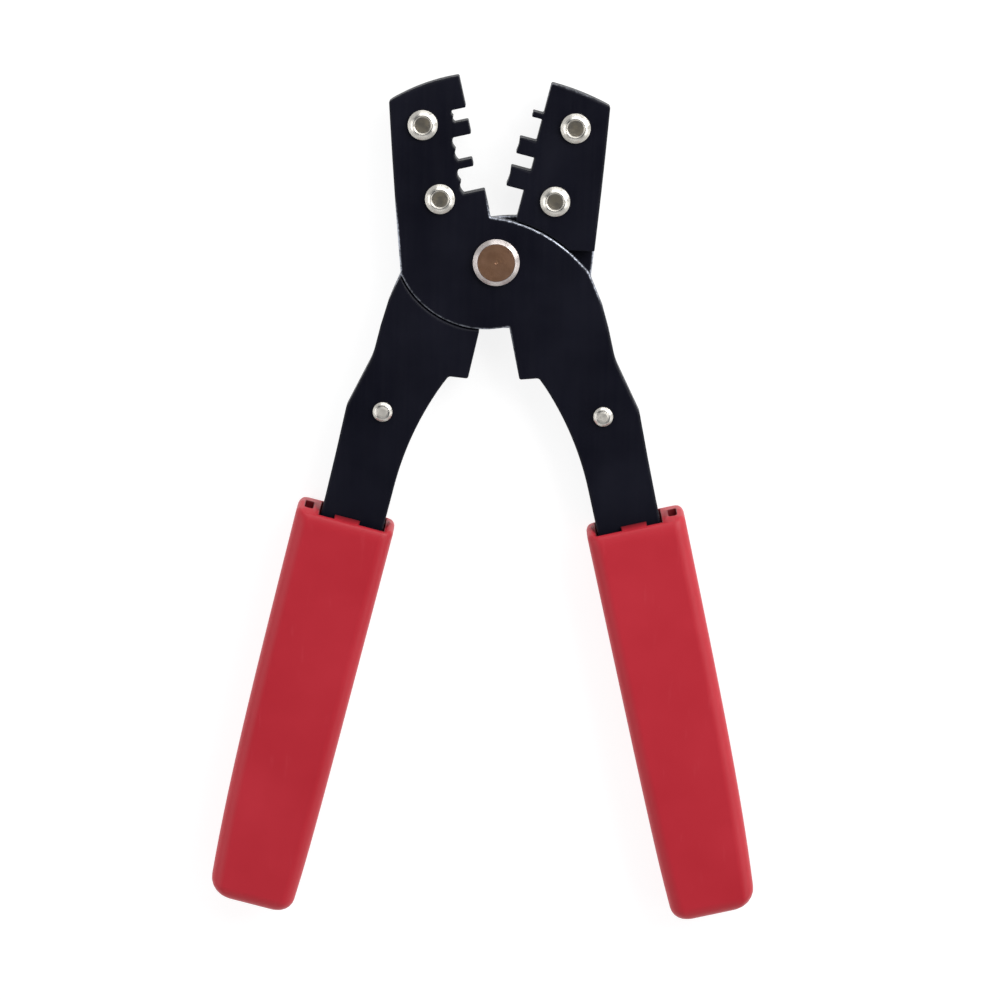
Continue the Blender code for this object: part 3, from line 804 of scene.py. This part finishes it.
def grip_material():
    """Red moulded vinyl with a fine spark-eroded texture."""
    shader = Shader("red_grip")
    cloud = shader.noise(22.0, detail=3.0)
    texture = shader.noise(0.28, detail=2.0)
    along = shader.place(scale=(0.9, 0.12, 0.9), turn=math.radians(-20))
    scuffs = shader.noise(1.0, detail=4.0, vector=along)
    scuffed = shader.remap(scuffs, 0.62, 0.74, 0.0, 0.14, smooth=True)
    clouded = shader.remap(cloud, 0.3, 0.7, 0.0, 1.0)
    red = shader.mix(clouded, (0.475, 0.016, 0.029, 1.0), (0.535, 0.022, 0.038, 1.0))
    scuffed_red = shader.mix(scuffed, red, (0.60, 0.06, 0.08, 1.0))
    # Painted shade: the mouth's and the core slot's insides and the rib's end are darkened towards deep red.
    painted_shade = shader.math("MULTIPLY", shader.attribute("painted_shade"), 0.75)
    color = shader.mix(painted_shade, scuffed_red, (0.08, 0.004, 0.007, 1.0))
    polish = shader.remap(cloud, 0.3, 0.7, 0.40, 0.48)
    roughness = shader.math("ADD", polish, shader.math("MULTIPLY", scuffed, 0.4))
    relief = shader.bump(texture, 0.015)
    shader.connect(shader.surface, {"Base Color": color, "Roughness": roughness, "Normal": relief,
                                    "Specular IOR Level": 0.36})
    return shader.material


# ---------------------------------------------------------------- stage

def add_backdrop():
    """A white floor that glows, most near the plier where the glow washes out its shadow, and curves up into a
    round wall, open at the top.
    """
    floor_rings = (150.0, 500.0)
    floor_radius = 1100.0
    bend = 500.0
    bend_steps = 12
    wall_height = 1000.0
    segments = 96
    profile = [(radius, 0.0) for radius in floor_rings]
    for step in range(bend_steps + 1):
        angle = math.pi / 2 * step / bend_steps
        profile.append((floor_radius + bend * math.sin(angle), bend * (1 - math.cos(angle))))
    profile.append((floor_radius + bend, wall_height))
    builder = bmesh.new()
    rings = []
    for radius, z in profile:
        points = []
        for step in range(segments):
            angle = 2 * math.pi * step / segments
            points.append((radius * math.cos(angle), radius * math.sin(angle), z))
        rings.append(add_ring(builder, points))
    builder.faces.new(rings[0])
    for inner, outer in zip(rings, rings[1:]):
        bridge(builder, outer, inner)
    bmesh.ops.scale(builder, vec=(MM, MM, MM), verts=builder.verts)
    mesh = bpy.data.meshes.new("backdrop")
    builder.to_mesh(mesh)
    builder.free()
    mesh.shade_smooth()
    shader = Shader("white_floor")
    place = shader.place()
    from_middle = shader.add("VectorMath", {0: place}, output="Value", operation="LENGTH")
    # Painted light: the floor glows most near the plier, washing out its shadow, and less towards the wall.
    glow = shader.remap(from_middle, 350.0, 1200.0, 0.85, 0.46, smooth=True)
    shader.connect(shader.surface, {"Base Color": (0.28, 0.28, 0.28, 1.0), "Roughness": 0.9,
                                    "Emission Color": (1.0, 1.0, 1.0, 1.0),
                                    "Emission Strength": glow, "Specular IOR Level": 0.1})
    mesh.materials.append(shader.material)
    backdrop = bpy.data.objects.new("backdrop", mesh)
    bpy.context.scene.collection.objects.link(backdrop)


def add_softbox(name, azimuth, elevation, distance, size, energy):
    """A square area light aimed at the plier: azimuth 0 is +X and 90 is +Y, in degrees."""
    light = bpy.data.lights.new(name, "AREA")
    light.shape = "SQUARE"
    light.size = size
    light.energy = energy
    item = bpy.data.objects.new(name, light)
    turn = math.radians(azimuth)
    rise = math.radians(elevation)
    away = Vector((math.cos(turn) * math.cos(rise), math.sin(turn) * math.cos(rise), math.sin(rise)))
    item.location = away * distance
    item.rotation_mode = "QUATERNION"
    item.rotation_quaternion = away.to_track_quat("Z", "Y")
    item.visible_camera = False
    bpy.context.scene.collection.objects.link(item)


def add_lights():
    """A key from the upper right, four weaker softboxes round the plier, and a dim sky."""
    add_softbox("key_light", azimuth=35, elevation=38, distance=0.75, size=0.5, energy=3.5)
    add_softbox("top_light", azimuth=85, elevation=38, distance=0.95, size=0.7, energy=2.6)
    add_softbox("side_light", azimuth=345, elevation=28, distance=0.95, size=0.5, energy=1.0)
    add_softbox("fill_light", azimuth=185, elevation=40, distance=1.0, size=0.8, energy=2.5)
    add_softbox("foot_light", azimuth=270, elevation=45, distance=1.0, size=0.8, energy=0.7)
    world = bpy.data.worlds.new("dim_room")
    bpy.context.scene.world = world
    world.use_nodes = True
    background = world.node_tree.nodes["Background"]
    background.inputs["Color"].default_value = (0.75, 0.80, 0.90, 1.0)
    background.inputs["Strength"].default_value = 0.10


def add_camera():
    """The camera stands over the plier, a little to the jaw side, and is slightly rolled."""
    forward = Vector((0.0, -math.sin(CAMERA_TILT), -math.cos(CAMERA_TILT)))
    up = Vector((0.0, math.cos(CAMERA_TILT), -math.sin(CAMERA_TILT)))
    right = Vector((1.0, 0.0, 0.0))
    rolled_right = right * math.cos(CAMERA_ROLL) + up * math.sin(CAMERA_ROLL)
    rolled_up = up * math.cos(CAMERA_ROLL) - right * math.sin(CAMERA_ROLL)
    data = bpy.data.cameras.new("camera")
    data.lens = CAMERA_LENS
    data.clip_start = 0.01
    data.clip_end = 20.0
    camera = bpy.data.objects.new("camera", data)
    facing = Matrix((rolled_right, rolled_up, -forward)).transposed()
    stand = (PIVOT + CAMERA_AIM - forward * CAMERA_DISTANCE) * MM
    camera.matrix_world = Matrix.Translation(stand) @ facing.to_4x4()
    bpy.context.scene.collection.objects.link(camera)
    bpy.context.scene.camera = camera


# ---------------------------------------------------------------- the plier

def build_plier():
    """Replace every CAD node by its finished piece."""
    oxide = plate_material()
    nickel = rivet_material()
    pivot = pivot_material()
    red = grip_material()
    for node in sorted(frame["nodes"]):
        if node.endswith("_plate"):
            plate_piece(node, oxide)
        elif "_jaw_rivet_" in node:
            rivet_piece(node, JAW_HEAD, nickel)
        elif node.endswith(("_arm_rivet", "_tang_rivet")):
            rivet_piece(node, ARM_HEAD, nickel, tarnish_and_reflection=ARM_TARNISH_AND_REFLECTION)
    rivet_piece("pivot_rivet", PIVOT_HEAD, pivot)
    grip_piece("right_grip", RIGHT_GRIP, red)
    grip_piece("left_grip", LEFT_GRIP, red)


add_camera()
build_plier()
add_backdrop()
add_lights()
bpy.context.scene.view_settings.view_transform = "Standard"
